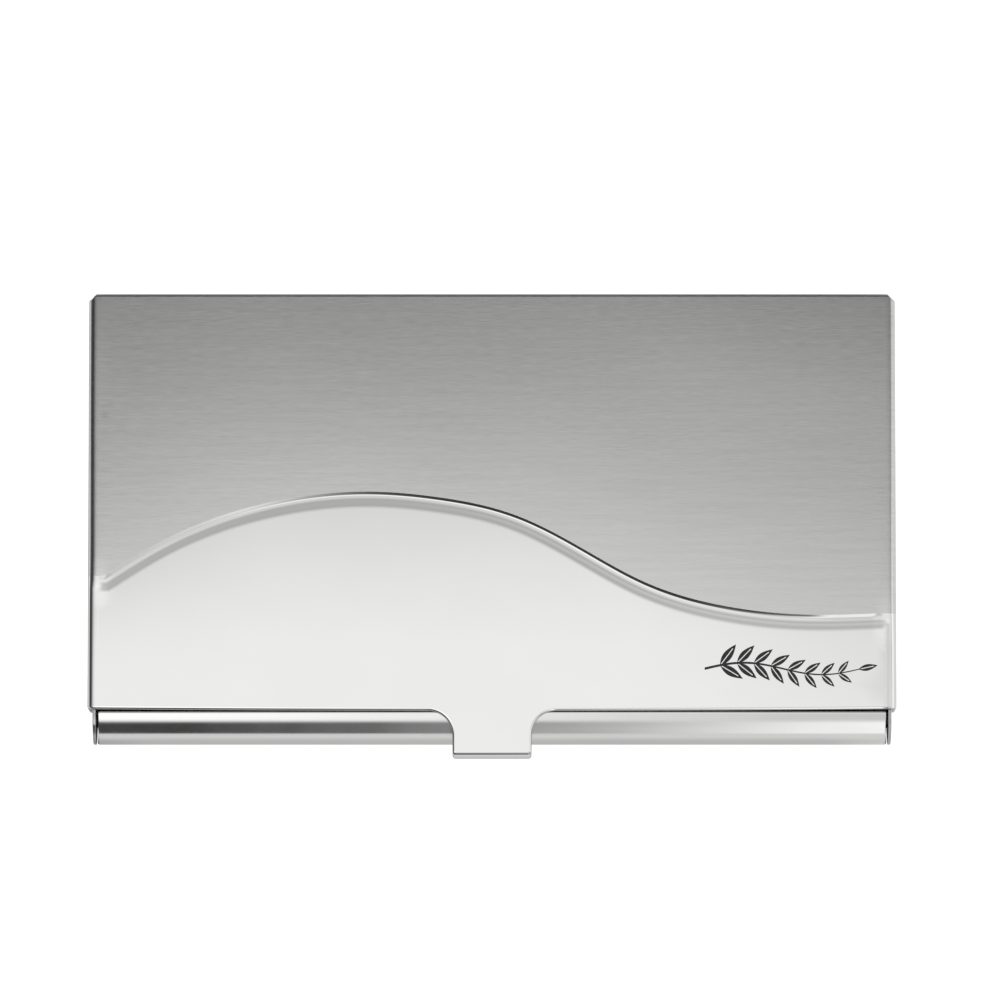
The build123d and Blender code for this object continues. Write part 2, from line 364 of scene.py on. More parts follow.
def well_inside(points, loops, margin):
    """True for each point that lies in the sheet and at least margin from its edges."""
    a = np.concatenate(loops)
    b = np.concatenate([np.roll(loop, -1, 0) for loop in loops])
    side = b - a
    rel = points[:, None] - a[None]
    t = np.clip((rel * side).sum(2) / (side**2).sum(1), 0, 1)
    near = np.sqrt((((rel - t[..., None] * side) ** 2).sum(2)).min(1))
    above = (a[:, 1] > points[:, 1:2]) != (b[:, 1] > points[:, 1:2])
    drop = np.where(side[:, 1] == 0, 1e-12, side[:, 1])
    cross = points[:, 0:1] < side[:, 0] * (points[:, 1:2] - a[:, 1]) / drop + a[:, 0]
    return ((above & cross).sum(1) % 2 == 1) & (near > margin)


def flat_faces(loops, lines):
    """Triangles inside the loops, with edges along every line. Returns points and triangles."""
    points = [Vector(p) for p in np.concatenate(loops)]
    edges = []
    for line in lines:
        kept = well_inside(line, loops, EDGE_MARGIN)
        for i, point in enumerate(line):
            if kept[i]:
                points.append(Vector(point))
                if i and kept[i - 1]:
                    edges.append((len(points) - 2, len(points) - 1))
    borders = []
    start = 0
    for loop in loops:
        borders.append(list(range(start, start + len(loop))))
        start += len(loop)
    found = delaunay_2d_cdt(points, edges, borders, 1, 1e-5)
    flat = np.array([tuple(p) for p in found[0]])
    triangles = np.array(found[2])
    keep = well_inside(flat[triangles].mean(1), loops, -1)
    return flat, triangles[keep]


def pressed_sheet(name, loops, fold, lines, relief, rounds, slots, marks=(), thick=SHEET):
    """One folded sheet with rounded cut edges, as a closed mesh with exact shading normals.

    loops are its flat outline and any holes, with the sheet on their left. rounds are the radii of
    its upper and under edges. slots(u, v) gives the upper face's materials. The under face has the
    slot after those, and the cut edge the last. marks are (name, function of u and v) attributes.
    """
    upper_round, under_round = rounds
    out = np.concatenate([outward(loop) for loop in loops])
    edge_line = np.concatenate(loops)
    ends = np.cumsum([len(loop) for loop in loops])
    onward = np.arange(len(edge_line)) + 1
    onward[ends - 1] = np.concatenate([[0], ends[:-1]])
    rim = []
    for k in range(RIM_STEPS + 1):
        a = pi / 2 * k / RIM_STEPS
        rim.append((upper_round * (1 - sin(a)), -upper_round * (1 - cos(a)), a))
    for k in range(RIM_STEPS - 1):
        a = pi / 2 * (1 + k / (RIM_STEPS - 2))
        rim.append((under_round * (1 - sin(a)), -thick + under_round * (1 + cos(a)), a))

    flat, depth, tilt, side, faces, rings = [], [], [], [], [], []
    for inset, level, a in rim:
        rings.append(np.arange(len(edge_line)) + len(edge_line) * len(rings))
        flat.append(edge_line - out * inset)
        depth.append(np.full(len(edge_line), level))
        tilt.append(np.full(len(edge_line), a))
        side.append(out)
    for upper, lower in zip(rings, rings[1:]):
        for i, j in enumerate(onward):
            faces.append((upper[i], upper[j], lower[j], lower[i]))
    rim_faces = len(faces)
    upper_faces = 0
    for ring, level, a in ((0, 0.0, 0.0), (len(rim) - 1, -thick, pi)):
        shrunk = np.split(flat[ring], ends[:-1])
        points, triangles = flat_faces(shrunk, lines)
        start = sum(len(f) for f in flat)
        close = np.linalg.norm(points[:, None] - flat[ring][None], axis=2)
        own = start + np.arange(len(points))
        index = np.where(close.min(1) < MERGE_WITHIN, rings[ring][close.argmin(1)], own)
        flat.append(points)
        depth.append(np.full(len(points), level))
        tilt.append(np.full(len(points), a))
        side.append(np.zeros_like(points))
        faces += [tuple(index[t]) for t in triangles]
        upper_faces = upper_faces or len(faces)

    flat = np.concatenate(flat)
    depth = np.concatenate(depth)
    tilt = np.concatenate(tilt)
    side = np.concatenate(side)
    u, v = flat.T
    point, normal, along_u, along_v = fold(u, v)
    outer = depth > -thick / 2
    height = relief(u, v, outer)
    step = RELIEF_STEP
    rise_u = (relief(u + step, v, outer) - relief(u - step, v, outer)) / (2 * step)
    rise_v = (relief(u, v + step, outer) - relief(u, v - step, outer)) / (2 * step)
    face = normal - rise_u[:, None] * along_u - rise_v[:, None] * along_v
    face /= np.linalg.norm(face, axis=1)[:, None]
    edge = side[:, :1] * along_u + side[:, 1:] * along_v
    shade = np.cos(tilt)[:, None] * face + np.sin(tilt)[:, None] * edge
    place = (point + (depth + height)[:, None] * normal) * MM

    used = np.unique(np.concatenate([np.array(f) for f in faces]))
    renumber = np.full(len(flat), -1)
    renumber[used] = np.arange(len(used))
    first = np.array([f[:3] for f in faces])
    a, b, c = place[first[:, 0]], place[first[:, 1]], place[first[:, 2]]
    turned = (np.cross(b - a, c - a) * shade[first].sum(1)).sum(1) < 0
    oriented = []
    for f, back_to_front in zip(faces, turned):
        order = f[::-1] if back_to_front else f
        oriented.append([int(renumber[i]) for i in order])
    mesh = bpy.data.meshes.new(name)
    mesh.from_pydata([tuple(p) for p in place[used]], [], oriented)
    piece = bpy.data.objects.new(name, mesh)
    bpy.context.scene.collection.objects.link(piece)
    mesh.shade_smooth()
    mesh.normals_split_custom_set_from_vertices([tuple(n) for n in shade[used]])

    corner = np.array([loop.vertex_index for loop in mesh.loops])
    flat = flat[used]
    uv = mesh.uv_layers.new(name="flat")
    uv.data.foreach_set("uv", (flat[corner] * MM).ravel())
    for mark, value in marks:
        mesh.attributes.new(mark, "FLOAT", "POINT").data.foreach_set("value", value(*flat.T))
    middle = np.array([flat[list(p.vertices)].mean(0) for p in mesh.polygons])
    given = slots(middle[:, 0], middle[:, 1]).astype(np.int32)
    under = given.max() + 1
    given[upper_faces:] = under
    given[len(edge_line) * RIM_STEPS // 2: rim_faces] = under + 1
    mesh.polygons.foreach_set("material_index", given)
    return piece


def finished(piece, body, node, slot, *materials):
    """Gives a piece its materials and its body, and hides the CAD node that it stands for."""
    for material in materials:
        piece.data.materials.append(material)
    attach(piece, body)
    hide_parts(node)


def straight(u0, v0, u1, v1, step):
    """Points along a straight line in the flat sheet."""
    count = max(2, int(hypot(u1 - u0, v1 - v0) / step) + 1)
    return np.linspace((u0, v0), (u1, v1), count)


def round_hole(u, v, radius):
    """Clockwise loop around a hole, a little larger than the pin or rivet in it."""
    turn = -2 * pi * np.arange(HOLE_POINTS) / HOLE_POINTS
    wide = radius + HOLE_PLAY
    return np.stack([u + wide * np.cos(turn), v + wide * np.sin(turn)], 1)


def mirrored(right_half):
    """Whole outline from its right half, listed from the front's middle to the rear's middle."""
    return right_half + [(-u, v, radius) for u, v, radius in reversed(right_half)]


def fine_in(outline, coarse, fine, zone):
    """Even points along an outline, closer together where zone(u, v) is true."""
    outline = refine(outline, coarse)
    points = []
    for i in range(len(outline)):
        a, b = outline[i], outline[(i + 1) % len(outline)]
        middle = (a + b) / 2
        length = fine if zone(middle[0], middle[1]) else coarse
        pieces = max(1, int(np.ceil(np.linalg.norm(b - a) / length)))
        for k in range(pieces):
            points.append(a + (b - a) * k / pieces)
    return np.array(points)


# ---- lid ----------------------------------------------------------------------------------
LID_FLAT_HALF = HALF_LENGTH - LID_BEND
LID_BEND_END = LID_FLAT_HALF + LID_BEND * pi / 2
CHEEK_END = LID_BEND_END + LID_TOP - LID_BEND - CHEEK_BOTTOM
LIP_LENGTH = (LIP_DROP - LIP_BEND * (1 - cos(LIP_TURN))) / sin(LIP_TURN)
LIP_START = LIP_Y + LIP_BEND * sin(LIP_TURN) + LIP_LENGTH * cos(LIP_TURN)
LIP_END = LIP_START - LIP_BEND * LIP_TURN - LIP_LENGTH


def lid_front(u):
    """The front edge, bowed back a little towards the cheeks."""
    return LID_FRONT + LID_FRONT_BOW * min(1.0, abs(u) / HALF_LENGTH) ** 2


def lid_outline():
    corner_y = lid_front(HALF_LENGTH)
    half = [(TAB_HALF, LIP_END, TAB_CORNER), (TAB_HALF, LID_FRONT, TAB_ROOT_FILLET)]
    half += [(u, lid_front(u), 0) for u in np.linspace(FRONT_EDGE_START, LID_FLAT_HALF, 12)]
    half += [
        (CHEEK_END, corner_y, CHEEK_FRONT_ROUND),
        (CHEEK_END, REAR_Y - REAR_CORNER_CUT, CHEEK_REAR_ROUND),
        (LID_FLAT_HALF + REAR_CORNER_OUT, REAR_Y - REAR_CORNER_CUT, REAR_CORNER_ROUND),
        (LID_FLAT_HALF + REAR_CORNER_IN, REAR_Y, REAR_CORNER_ROUND),
    ]

    def zone(u, v):
        in_bend = LID_FLAT_HALF - 0.1 < abs(u) < LID_BEND_END + 0.1
        in_lip = LIP_START - LIP_BEND * LIP_TURN - 0.1 < v < LIP_START + 0.1
        return in_bend or in_lip

    return fine_in(rounded(mirrored(half)), OUTLINE_STEP, LID_FINE_STEP, zone)


def leaf_frame(leaf, u, v):
    """Place along a leaf from 0 to 1, distance off its midrib, and its half width there."""
    root_u, root_v, angle, length, width = leaf
    along = ((u - root_u) * cos(angle) + (v - root_v) * sin(angle)) / length
    off = np.abs((v - root_v) * cos(angle) - (u - root_u) * sin(angle))
    half = width * np.sin(pi * np.clip(along, 0, 1) ** LEAF_BELLY)
    return along, off, np.where((along > 0) & (along < 1), half, -1.0)


def stem_v(u):
    t = (u - SPRIG_START) / SPRIG_LENGTH
    return SPRIG_MIDDLE + SPRIG_WAVE * np.sin(2 * pi * t)


def stem_half(u):
    return STEM_HALF[0] + (STEM_HALF[1] - STEM_HALF[0]) * (u - SPRIG_START) / SPRIG_LENGTH


def sprig_leaves():
    """Pairs of leaves that shorten along the stem, and one at its tip, as leaf_frame takes them."""
    leaves = []
    for k in range(SPRIG_PAIRS):
        u = SPRIG_START + SPRIG_LENGTH * (FIRST_PAIR + PAIRS_SPAN * k / SPRIG_PAIRS)
        angle = atan2(slope_of(stem_v, u), 1)
        length = LEAF_LENGTH[0] + (LEAF_LENGTH[1] - LEAF_LENGTH[0]) * k / SPRIG_PAIRS
        for side in (1, -1):
            leaves.append((u, stem_v(u), angle + side * LEAF_ANGLE, length, LEAF_WIDTH * length))
    tip = SPRIG_START + SPRIG_LENGTH - TIP_LEAF_BACK
    leaves.append((tip, stem_v(tip)) + TIP_LEAF)
    return leaves


SPRIG = sprig_leaves()


def engraved(u, v):
    """How far inside the engraved sprig a point lies; negative outside."""
    ends = np.minimum(u - SPRIG_START, SPRIG_START + SPRIG_LENGTH - u)
    depth = np.minimum(stem_half(u) - np.abs(v - stem_v(u)), ends)
    for leaf in SPRIG:
        along, off, half = leaf_frame(leaf, u, v)
        vein = np.where(along < VEIN_END, off - VEIN_HALF, 1.0)
        depth = np.maximum(depth, np.minimum(half - off, vein))
    return depth


def sprig_lines():
    """The sprig's outlines, and the foot of its engraved slopes."""
    lines = []
    t = np.linspace(0.0, 1.0, 25)
    for inset in (0.0, ENGRAVE_SLOPE):
        for root_u, root_v, angle, length, width in SPRIG:
            half = np.maximum(width * np.sin(pi * t**LEAF_BELLY) - inset, 0)
            for way in (1, -1):
                for off in (way * half, np.where(t < VEIN_END, way * (VEIN_HALF + inset), 0)):
                    u = root_u + t * length * cos(angle) - off * sin(angle)
                    v = root_v + t * length * sin(angle) + off * cos(angle)
                    lines.append(np.stack([u, v], 1))
        u = np.linspace(SPRIG_START + inset, SPRIG_START + SPRIG_LENGTH - inset, 90)
        for way in (1, -1):
            lines.append(np.stack([u, stem_v(u) + way * (stem_half(u) - inset)], 1))
        half = stem_half(u[0]) - inset
        lines.append(straight(u[0], stem_v(u[0]) - half, u[0], stem_v(u[0]) + half, 0.06))
    return lines


def lid_relief(u, v, outer):
    """The wave: a gentle rise, a sharp little drop, a round shoulder, then the polished recess."""
    s = before_crest(u, v)
    sharp = smooth(np.abs(u), RIB_FADE[1], RIB_FADE[0])
    rise = smooth(s, -RIB_RISE, 0.0) * smooth(np.abs(u), RIB_SIDE[1], RIB_SIDE[0])
    t = np.clip((s - RIB_STEP_SPAN[0]) / (RIB_STEP_SPAN[1] - RIB_STEP_SPAN[0]), 0, 1)
    step = (RIB_STEP_SHARP * t - t**RIB_STEP_SHARP) / (RIB_STEP_SHARP - 1)
    fall = sharp * step + (1 - sharp) * smooth(s, *RIB_BLEND)
    side = np.where(u > 0, smooth(u, *RECESS_SIDE), smooth(-u, *RECESS_LEFT_SIDE))
    early = RECESS_STEP_SHARE * sharp
    recess = RECESS * side * (early * step + (1 - early) * smooth(s, *SHOULDER))
    cut = ENGRAVE_DEPTH * smooth(engraved(u, v), ENGRAVE_FOOT, ENGRAVE_SLOPE) * outer
    return RIB_HEIGHT * rise * (1 - fall) - recess - cut


def lid_satin_and_shade(u, v):
    """1 where the sheet is brushed, less on the wave's front slope, 0 where it is polished. The
    slope is satin (rougher), and the same mask paints shade: darker at both ends of the crest and
    along the recess border, lighter as painted highlights along the ridge and to the right.
    """
    s = before_crest(u, v)
    left = smooth(u, *LEFT_SHADE_SPAN)
    at_left = LEFT_SHADE_AMOUNT + LEFT_CREST_SHADE_AMOUNT * smooth(s, *LEFT_CREST_SHADE_SPAN)
    at_right = MIDDLE_SHADE_AMOUNT + RIGHT_SHADE_AMOUNT * smooth(u, *RIGHT_SHADE_SPAN)
    start = np.maximum(left * at_left, at_right)
    slope = np.maximum(start, smooth(s - LEFT_SHADE_LATER * left, *SATIN_SLOPE))
    ridge = RIDGE_PAINTED_HIGHLIGHT * smooth(np.abs(s - RIDGE_AT), RIDGE_HALF, 0.0) * smooth(u, *RIDGE_SIDE)
    slope *= 1 - ridge - RIGHT_PAINTED_HIGHLIGHT * smooth(u, *RIGHT_HIGHLIGHT_SIDE)
    slope *= SATIN_AND_SHADE_AMOUNT * smooth(s, *SATIN_FOOT) * smooth(np.abs(u), *SATIN_SIDE)
    border = BORDER_SHADE_AMOUNT * band(u, *BORDER_SIDE) * smooth(s, *BORDER_START)
    return np.where(s < BRUSHED_END, 1.0, np.maximum(slope, border))


def lid_painted_shade_line(u, v):
    """1 where shade is painted as a dark line: along the crest that parts brushed from polished at
    the right, and in the tab's fold.
    """
    crest = band(before_crest(u, v), *CREST_SHADE_SPAN) * band(u, *CREST_SHADE_SIDE)
    fold = band(v - LIP_START, *FOLD_SHADE_SPAN) * (np.abs(u) < TAB_HALF - FOLD_SHADE_MARGIN)
    return np.maximum(crest, FOLD_SHADE_AMOUNT * fold)


def lid_slots(u, v):
    """0 polished, 1 brushed, 2 engraved."""
    return np.where(engraved(u, v) > 0, 2, (before_crest(u, v) < BRUSHED_END).astype(int))


def make_lid():
    lines = []
    for sign in (-1, 1):
        for k in range(11):
            u = sign * (LID_FLAT_HALF + LID_BEND * pi / 2 * k / 10)
            lines.append(straight(u, LID_FRONT, u, REAR_Y, 1.5))
    for u in np.concatenate([np.linspace(*RECESS_SIDE, 5), -np.linspace(*RECESS_LEFT_SIDE, 8)]):
        lines.append(straight(u, LID_FRONT, u, RECESS_REAR_END, 0.8))
    for k in range(9):
        v = LIP_START - LIP_BEND * LIP_TURN * k / 8
        lines.append(straight(-TAB_HALF, v, TAB_HALF, v, 0.6))
    ends = np.linspace(RIB_FADE[0], RIB_SIDE[1], 19)
    along = np.concatenate([-ends[::-1], np.linspace(-RIB_FADE[0], RIB_FADE[0], 155)[1:-1], ends])
    slope = slope_of(crest_y, along)
    unit = np.sqrt(1 + slope**2)
    offsets = list(np.linspace(-RIB_RISE, -0.8, 14)) + [-0.3, -0.08, -0.06]
    offsets += list(np.linspace(*RIB_STEP_SPAN, 10)) + [SATIN_SLOPE[0]]
    offsets += list(np.linspace(*SHOULDER, 16)) + [SATIN_FOOT[0], 2.6, 3.3, RIB_BLEND[1]]
    for s in offsets:
        lines.append(np.stack([along + s * slope / unit, crest_y(along) - s / unit], 1))
    for sign in (-1, 1):
        v = float(crest_y(np.array(sign * HALF_LENGTH))) - BRUSHED_END
        lines.append(straight(sign * (RIB_SIDE[1] + 0.1), v, sign * CHEEK_END, v, 0.25))
    lines += sprig_lines()
    pivot_u = LID_BEND_END + LID_TOP - LID_BEND - PIVOT_Z
    cheek = [(LID_BEND * pi / 2, LID_BEND)]
    lip = [(LIP_BEND * LIP_TURN, LIP_BEND)]
    fold = make_fold(LID_TOP, -1, LID_FLAT_HALF, cheek, LIP_START, lip)
    return pressed_sheet(
        "lid_shell",
        [lid_outline()] + [round_hole(sign * pivot_u, PIVOT_Y, PIN_RADIUS) for sign in (-1, 1)],
        fold,
        lines,
        lid_relief,
        LID_EDGE_ROUNDS,
        lid_slots,
        # satin finish with painted shade and painted highlights, then a painted shade line
        (("satin_and_shade", lid_satin_and_shade), ("painted_shade_line", lid_painted_shade_line)),
    )


# ---- tray ---------------------------------------------------------------------------------
FLOOR_ROUND = TRAY_TOP - FRONT_ROUND
FLOOR_FRONT = TRAY_FRONT + FLOOR_ROUND
FLOOR_REAR = TRAY_REAR - REAR_ROUND
FRONT_ROLL = [
    (FLOOR_ROUND * pi / 2, FLOOR_ROUND),
    (FRONT_ROUND * FRONT_TURN, FRONT_ROUND),
    (CURL_ROUND * CURL_TURN, CURL_ROUND),
    (FRONT_LIP, None),
]
REAR_WALL = [
    (REAR_ROUND * pi / 2, REAR_ROUND),
    (TRAY_TOP - 2 * REAR_ROUND, None),
    (REAR_ROUND * pi / 2, REAR_ROUND),
    (REAR_LIP, None),
]
WALL_START = END_WALL - END_WALL_BEND
SLIT_DEPTH = 0.3
SLIT_ROUND = 0.02


def wall_u(z):
    """Flat-sheet coordinate of a height on an end wall."""
    if z < END_WALL_BEND:
        return WALL_START + END_WALL_BEND * np.arccos(1 - z / END_WALL_BEND)
    return WALL_START + END_WALL_BEND * pi / 2 + z - END_WALL_BEND


def arc_y(z, middle_z, middle_y, radius, facing):
    """The y of an upright arc at a height, in front of its middle (-1) or behind it (1)."""
    return middle_y + facing * np.sqrt(max(0.0, radius**2 - (z - middle_z) ** 2))


def tray_outline():
    strip_front = FLOOR_FRONT - sum(length for length, _ in FRONT_ROLL)
    strip_rear = FLOOR_REAR + sum(length for length, _ in REAR_WALL)
    half = [
        (ROLL_HALF, strip_front, STRIP_CORNER),
        (ROLL_HALF, FLOOR_FRONT - FLOOR_ROUND * pi / 2, 0),
        (ROLL_LOW_HALF, FLOOR_FRONT - ROLL_WIDENED_AT * FLOOR_ROUND * pi / 2, 0),
        (ROLL_LOW_HALF, FLOOR_FRONT + SLIT_DEPTH, SLIT_ROUND),
        (WALL_START, FLOOR_FRONT + SLIT_DEPTH, SLIT_ROUND),
    ]
    for z in FLOOR_ROUND * (1 - np.cos(np.linspace(0, pi / 2, 18))):
        half.append((wall_u(z), arc_y(z, FLOOR_ROUND, FLOOR_FRONT, FLOOR_ROUND, -1), 0))
    for z in np.linspace(FLOOR_ROUND, END_WALL_TOP, 16)[1:]:
        y = arc_y(z, FLOOR_ROUND, TRAY_FRONT + FRONT_ROUND, FRONT_ROUND, -1)
        half.append((wall_u(z), y, 0))
    for z in np.linspace(END_WALL_TOP, TRAY_TOP - REAR_ROUND, 12):
        half.append((wall_u(z), arc_y(z, TRAY_TOP - REAR_ROUND, FLOOR_REAR, REAR_ROUND, 1), 0))
    for z in REAR_ROUND * (1 - np.cos(np.linspace(pi / 2, 0, 18))):
        half.append((wall_u(z), arc_y(z, REAR_ROUND, FLOOR_REAR, REAR_ROUND, 1), 0))
    half += [
        (WALL_START, FLOOR_REAR - SLIT_DEPTH, SLIT_ROUND),
        (ROLL_HALF, FLOOR_REAR - SLIT_DEPTH, SLIT_ROUND),
        (ROLL_HALF, strip_rear, STRIP_CORNER),
    ]

    def zone(u, v):
        on_strip_side = ROLL_HALF - 0.5 < abs(u) < ROLL_LOW_HALF + 0.02
        return on_strip_side and (v < FLOOR_FRONT + 0.1 or v > FLOOR_REAR - 0.1)

    return fine_in(rounded(mirrored(half)), OUTLINE_STEP, TRAY_FINE_STEP, zone)


def make_tray():
    lines = []
    strips = ((22, FLOOR_FRONT, FRONT_ROLL, -1), (12, FLOOR_REAR, REAR_WALL, 1))
    for count, start, pieces, facing in strips:
        for length, radius in pieces:
            if radius:
                for k in range(count + 1):
                    v = start + facing * length * k / count
                    lines.append(straight(-ROLL_HALF + 0.3, v, ROLL_HALF - 0.3, v, 6.0))
            start += facing * length
    for sign in (-1, 1):
        for k in range(9):
            u = sign * (WALL_START + END_WALL_BEND * pi / 2 * k / 8)
            lines.append(straight(u, FLOOR_FRONT - 2, u, FLOOR_REAR + 2, 1.0))
    end_wall = [(END_WALL_BEND * pi / 2, END_WALL_BEND)]
    fold = make_fold(
        0.0, 1, WALL_START, end_wall, FLOOR_FRONT, FRONT_ROLL, FLOOR_REAR, REAR_WALL
    )
    loops = [tray_outline()]
    for sign in (-1, 1):
        loops.append(round_hole(sign * wall_u(PIVOT_Z), PIVOT_Y, PIN_RADIUS))
        for x, y, radius in (LEAF_RIVET, SPRING_RIVET):
            loops.append(round_hole(sign * x, y, radius))
    return pressed_sheet(
        "tray_shell", loops, fold, lines, no_relief, TRAY_EDGE_ROUNDS, one_slot
    )


# ---- floor liner ----------------------------------------------------------------------------
LINER_CORNER = 1.0
WINDOW_HALF = 7.8
WINDOW_Y = (-18.6, 20.2)
PILE_RIPPLE = 0.012
EDGE_SINK = 0.05


def make_liner():
    """A thin pile-faced pad with a window for the card spring, a little fuller off its edges."""
    half = liner_high[0] / MM
    front, rear = liner_low[1] / MM, liner_high[1] / MM
    thick = (liner_high[2] - liner_low[2]) / MM
    border = [(half, front, LINER_CORNER), (half, rear, LINER_CORNER)]
    window = [(WINDOW_HALF, y, LINER_CORNER) for y in WINDOW_Y]
    loops = [refine(rounded(mirrored(corners)), LINER_STEP) for corners in (border, window)]
    loops[1] = loops[1][::-1]
    lines = [straight(-half, y, half, y, 1.0) for y in np.arange(front + 0.7, rear, 1.0)]

    def swell(u, v, outer):
        inside = np.minimum(half - np.abs(u), np.minimum(v - front, rear - v))
        beside = np.maximum(np.abs(u) - WINDOW_HALF, np.maximum(WINDOW_Y[0] - v, v - WINDOW_Y[1]))
        depth = np.minimum(inside, beside)
        ripple = np.sin(u * 0.9 + 1.3 * np.sin(v * 0.7)) * np.sin(v * 1.1 + u * 0.3)
        pile = PILE_RIPPLE * (ripple - 1) * smooth(depth, 0.2, 2.0)
        return pile - EDGE_SINK * smooth(depth, 1.2, 0.0)

    fold = make_fold(liner_high[2] / MM, -1, FAR, [], -FAR, [])
    return pressed_sheet(
        "liner_pad", loops, fold, lines, swell, LINER_EDGE_ROUNDS, one_slot, thick=thick
    )


# ---- materials ------------------------------------------------------------------------------
def add(tree, kind, values=(), **settings):
    """A new shader node, with its settings and its input values."""
    made = tree.nodes.new("ShaderNode" + kind)
    for key, value in settings.items():
        setattr(made, key, value)
    for key, value in dict(values).items():
        made.inputs[key].default_value = value
    return made


def blank(name, **values):
    """A new material, its tree and its Principled shader with these constant values."""
    material = bpy.data.materials.new(name)
    material.use_nodes = True
    tree = material.node_tree
    shader = tree.nodes["Principled BSDF"]
    for key, value in values.items():
        shader.inputs[key.replace("_", " ")].default_value = value
    return material, tree, shader


def noise(tree, where, scale, detail, roughness=0.5):
    """Noise over coordinates stretched by scale (one number for each axis, per metre)."""
    stretch = add(tree, "Mapping", {"Scale": scale})
    tree.links.new(where, stretch.inputs["Vector"])
    made = add(tree, "TexNoise", {"Scale": 1.0, "Detail": detail, "Roughness": roughness})
    tree.links.new(stretch.outputs["Vector"], made.inputs["Vector"])
    return made.outputs["Fac"]


def span(tree, value, low, high, from_low=0.3, from_high=0.7):
    """Maps a value to low..high. The defaults suit noise, which mostly stays in 0.3..0.7."""
    ends = {"From Min": from_low, "From Max": from_high, "To Min": low, "To Max": high}
    made = add(tree, "MapRange", ends)
    tree.links.new(value, made.inputs["Value"])
    return made.outputs["Result"]


def combine(tree, operation, first, second):
    """Maths on two values, each a number or a socket."""
    made = add(tree, "Math", operation=operation)
    for i, value in enumerate((first, second)):
        if isinstance(value, (int, float)):
            made.inputs[i].default_value = value
        else:
            tree.links.new(value, made.inputs[i])
    return made.outputs["Value"]


def tinted(tree, shader, value, color):
    """Base colour: color times a value."""
    made = add(tree, "VectorMath", {0: color}, operation="SCALE")
    tree.links.new(value, made.inputs["Scale"])
    tree.links.new(made.outputs["Vector"], shader.inputs["Base Color"])


def bump(tree, shader, height, strength, distance):
    """Shading relief from a height; distance is in metres."""
    made = add(tree, "Bump", {"Strength": strength, "Distance": distance})
    tree.links.new(height, made.inputs["Height"])
    tree.links.new(made.outputs["Normal"], shader.inputs["Normal"])


def flat_coordinates(tree):
    return add(tree, "UVMap", uv_map="flat").outputs["UV"]


def object_coordinates(tree):
    return add(tree, "TexCoord").outputs["Object"]


def brushed_steel():
    """Long fine grain along the case, with a few broader bands."""
    material, tree, shader = blank(
        "brushed_steel", Metallic=1.0, Anisotropic=0.8, Anisotropic_Rotation=0.25
    )
    where = flat_coordinates(tree)
    fine = noise(tree, where, (560, 9000, 1), 3, 0.65)
    broad = noise(tree, where, (90, 1500, 1), 2)
    cloud = noise(tree, where, (25, 60, 1), 2)
    grain = combine(tree, "ADD", span(tree, fine, -0.065, 0.065), span(tree, broad, -0.025, 0.025))
    shade = combine(tree, "ADD", grain, span(tree, cloud, 0.985, 1.015))
    tinted(tree, shader, shade, (0.705, 0.703, 0.696))
    tree.links.new(span(tree, fine, 0.20, 0.26), shader.inputs["Roughness"])
    bump(tree, shader, fine, 0.12, 0.00001)
    tangent = add(tree, "Tangent", direction_type="UV_MAP", uv_map="flat")
    tree.links.new(tangent.outputs["Tangent"], shader.inputs["Tangent"])
    return material


# painted shade: how dark the colour gets where the wave's slope mask is full
SATIN_SHADE_TONE = 0.57
# painted shade: colour of the dark crest line and of the tab's fold
PAINTED_SHADE_TONE = 0.22
PIT_TONE = 0.55
PIT_SIZE = 0.016
PITS_PER_METRE = 150.0


def polished_steel(name, color, polished, satin_rough, cloudiness):
    """Buffed sheet: nearly a mirror, with faint haze, hairlines and a few pin-point pits."""
    material, tree, shader = blank(name, Metallic=1.0)
    where = flat_coordinates(tree)
    haze = noise(tree, where, (90, 130, 1), 3)
    hair = noise(tree, where, (300, 6000, 1), 2)
    satin_and_shade = add(tree, "Attribute", attribute_name="satin_and_shade").outputs["Fac"]
    buffed = span(tree, haze, polished * 0.85, polished * 1.2)
    rough = combine(tree, "ADD", buffed, span(tree, satin_and_shade, 0, satin_rough, 0, 1))
    tree.links.new(rough, shader.inputs["Roughness"])
    pits = add(tree, "TexVoronoi", {"Scale": PITS_PER_METRE})
    tree.links.new(where, pits.inputs["Vector"])
    chosen = add(tree, "SeparateColor")
    tree.links.new(pits.outputs["Color"], chosen.inputs["Color"])
    size = span(tree, chosen.outputs["Red"], 0.0, PIT_SIZE, 0.8, 1.0)
    clean = combine(tree, "GREATER_THAN", pits.outputs["Distance"], size)
    pitted = span(tree, clean, PIT_TONE, 1.0, 0, 1)
    clouds = span(tree, haze, 1 - cloudiness, 1 + cloudiness)
    shade = combine(tree, "MULTIPLY", pitted, clouds)
    # painted shade: the colour darkens with the wave's slope mask
    shade = combine(tree, "MULTIPLY", shade, span(tree, satin_and_shade, 1.0, SATIN_SHADE_TONE, 0, 1))
    # painted shade: the dark crest line and the tab's fold
    line = add(tree, "Attribute", attribute_name="painted_shade_line").outputs["Fac"]
    shade = combine(tree, "MULTIPLY", shade, span(tree, line, 1.0, PAINTED_SHADE_TONE, 0, 1))
    tinted(tree, shader, shade, color)
    bump(tree, shader, hair, 0.02, 0.00001)
    return material


def plain_steel(name, color, rough, stretch):
    """Rolled, turned or ground steel with its grain stretched one way."""
    material, tree, shader = blank(name, Metallic=1.0)
    where = object_coordinates(tree)
    grain = noise(tree, where, stretch, 3, 0.6)
    stain = noise(tree, where, (220, 220, 220), 3)
    shade = combine(tree, "ADD", span(tree, grain, -0.035, 0.035), span(tree, stain, 0.95, 1.04))
    tinted(tree, shader, shade, color)
    tree.links.new(span(tree, grain, rough * 0.8, rough * 1.25), shader.inputs["Roughness"])
    bump(tree, shader, grain, 0.08, 0.00001)
    return material


